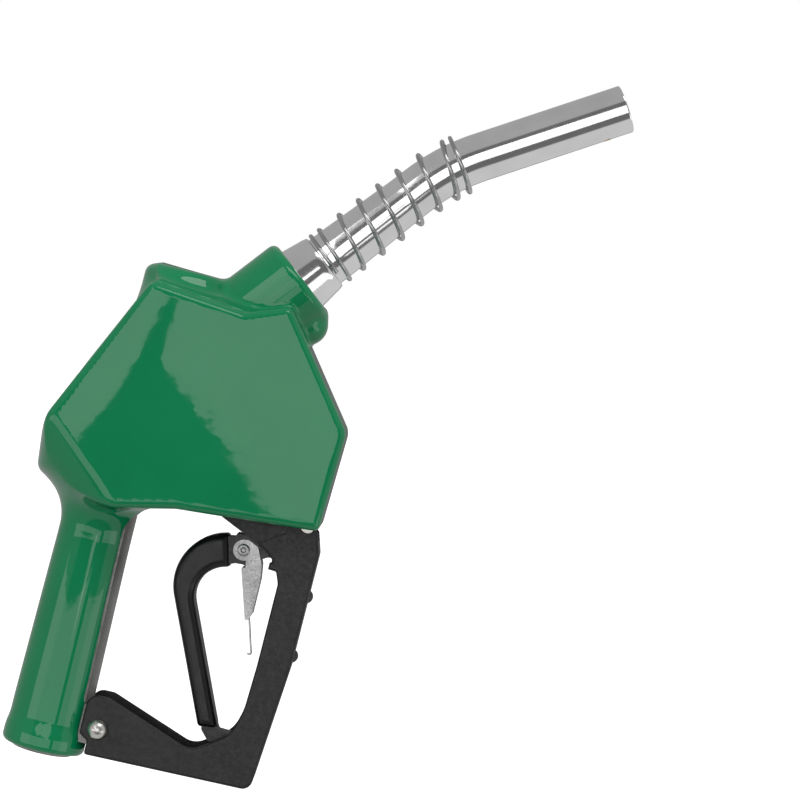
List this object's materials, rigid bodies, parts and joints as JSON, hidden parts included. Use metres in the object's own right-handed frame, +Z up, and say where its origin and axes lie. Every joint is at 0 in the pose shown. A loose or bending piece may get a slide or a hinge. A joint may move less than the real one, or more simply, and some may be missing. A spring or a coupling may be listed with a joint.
{
  "type": "fuel nozzle",
  "caption": "Automatic shut-off fuel dispensing nozzle with a vinyl body cover, bent metal spout with anchor spring, lever guard and a squeeze lever with hold-open latch.",
  "frame": {"origin": "centre of the hose inlet mouth at the bottom of the handle", "axes": "+Z up the handle axis, +X towards the lever, guard and spout, +Y square to the plane of symmetry"},
  "size_m": [0.2184, 0.066, 0.3445],
  "materials": {
    "green_vinyl": "glossy dipped vinyl",
    "black_vinyl": "satin dipped vinyl",
    "black_coating": "fine textured powder coating",
    "cast_aluminium": "as cast, tumbled",
    "polished_aluminium": "bright turned",
    "chrome_plate": "bright",
    "bright_zinc": "bright zinc plated",
    "zinc_plate": "zinc plated",
    "dark_steel": "blackened",
    "bare_steel": "dark oxidised",
    "spring_steel": "drawn wire",
    "brass": "turned",
    "seal_rubber": "matt"
  },
  "bodies": {
    "body": {"body_casting": "cast_aluminium", "vinyl_cover": "green_vinyl", "lever_guard": "black_coating", "guard_bracket": "black_coating", "bracket_screws": "zinc_plate", "front_bolt": "zinc_plate", "front_nut": "zinc_plate", "front_spacer": "zinc_plate", "rear_screw": "chrome_plate", "rear_acorn_nut": "chrome_plate", "hold_open_rack": "dark_steel", "rack_rivets": "dark_steel", "spout_bushing": "polished_aluminium", "spout_tube": "polished_aluminium", "anchor_spring": "chrome_plate", "vent_tube": "brass", "vent_tip_bush": "brass", "spout_o_rings": "seal_rubber", "spout_set_screw": "zinc_plate", "check_valve_seat": "brass", "check_valve_guide": "brass", "check_valve_spring": "spring_steel", "valve_seat_ring": "brass", "main_valve_spring": "spring_steel", "valve_body_cap": "cast_aluminium", "stem_packing": "seal_rubber", "packing_gland": "brass", "plunger_guide_bush": "brass", "plunger_guide_seal": "seal_rubber", "plunger_return_spring": "spring_steel", "latch_ring": "dark_steel", "diaphragm": "seal_rubber", "diaphragm_spring": "spring_steel", "vacuum_cap": "cast_aluminium", "vacuum_cap_screws": "zinc_plate"},
    "valve": {"valve_stem": "spring_steel", "main_valve_poppet": "brass", "poppet_seal": "seal_rubber", "poppet_nut": "brass"},
    "plunger": {"shutoff_plunger": "spring_steel", "latch_balls": "spring_steel", "lever_pin": "zinc_plate", "lever_pin_clips": "zinc_plate"},
    "lever": {"lever_arm": "bare_steel", "lever_grip_sleeve": "black_vinyl", "latch_rivet": "bright_zinc"},
    "latch": {"hold_open_latch": "bright_zinc", "latch_spring": "spring_steel"},
    "diaphragm_centre": {"shutoff_latch_pin": "dark_steel", "diaphragm_lower_plate": "zinc_plate", "diaphragm_upper_plate": "zinc_plate"},
    "check_poppet": {"check_valve_poppet": "brass", "check_valve_seal": "seal_rubber"}
  },
  "joints": [
    {"name": "shutoff_drop", "type": "slide", "parent": "body", "child": "plunger", "axis": [0.2079, 0, -0.9781], "range_m": [0, 0.006], "stiffness_N_per_m": 1200, "springref_m": -0.012, "deforming": ["plunger_return_spring", "latch_balls"]},
    {"name": "lever_squeeze", "type": "hinge", "parent": "plunger", "child": "lever", "pos_m": [0.086, 0, 0.112], "axis": [0, 1, 0], "range_deg": [0, 18], "stiffness_Nm_per_rad": 0.6, "springref_deg": -34.38},
    {"name": "valve_lift", "type": "slide", "parent": "body", "child": "valve", "axis": [-0.2079, 0, 0.9781], "range_m": [0, 0.0078], "stiffness_N_per_m": 700, "springref_m": -0.02, "deforming": ["main_valve_spring"]},
    {"name": "latch_swing", "type": "hinge", "parent": "lever", "child": "latch", "pos_m": [0.0655, 0, 0.107], "axis": [0, -1, 0], "range_deg": [0, 19], "stiffness_Nm_per_rad": 0.01, "springref_deg": -57.3, "deforming": ["latch_spring"]},
    {"name": "diaphragm_lift", "type": "slide", "parent": "body", "child": "diaphragm_centre", "axis": [-0.2079, 0, 0.9781], "range_m": [0, 0.003], "stiffness_N_per_m": 300, "springref_m": -0.004, "deforming": ["diaphragm_spring", "diaphragm"]},
    {"name": "check_valve_open", "type": "slide", "parent": "body", "child": "check_poppet", "axis": [0.6232, 0, 0.7821], "range_m": [0, 0.004], "stiffness_N_per_m": 200, "springref_m": -0.004, "deforming": ["check_valve_spring"]}
  ],
  "couplings": [
    {"joint": "valve_lift", "follows": "lever_squeeze", "m_per_rad": 0.0245}
  ]
}
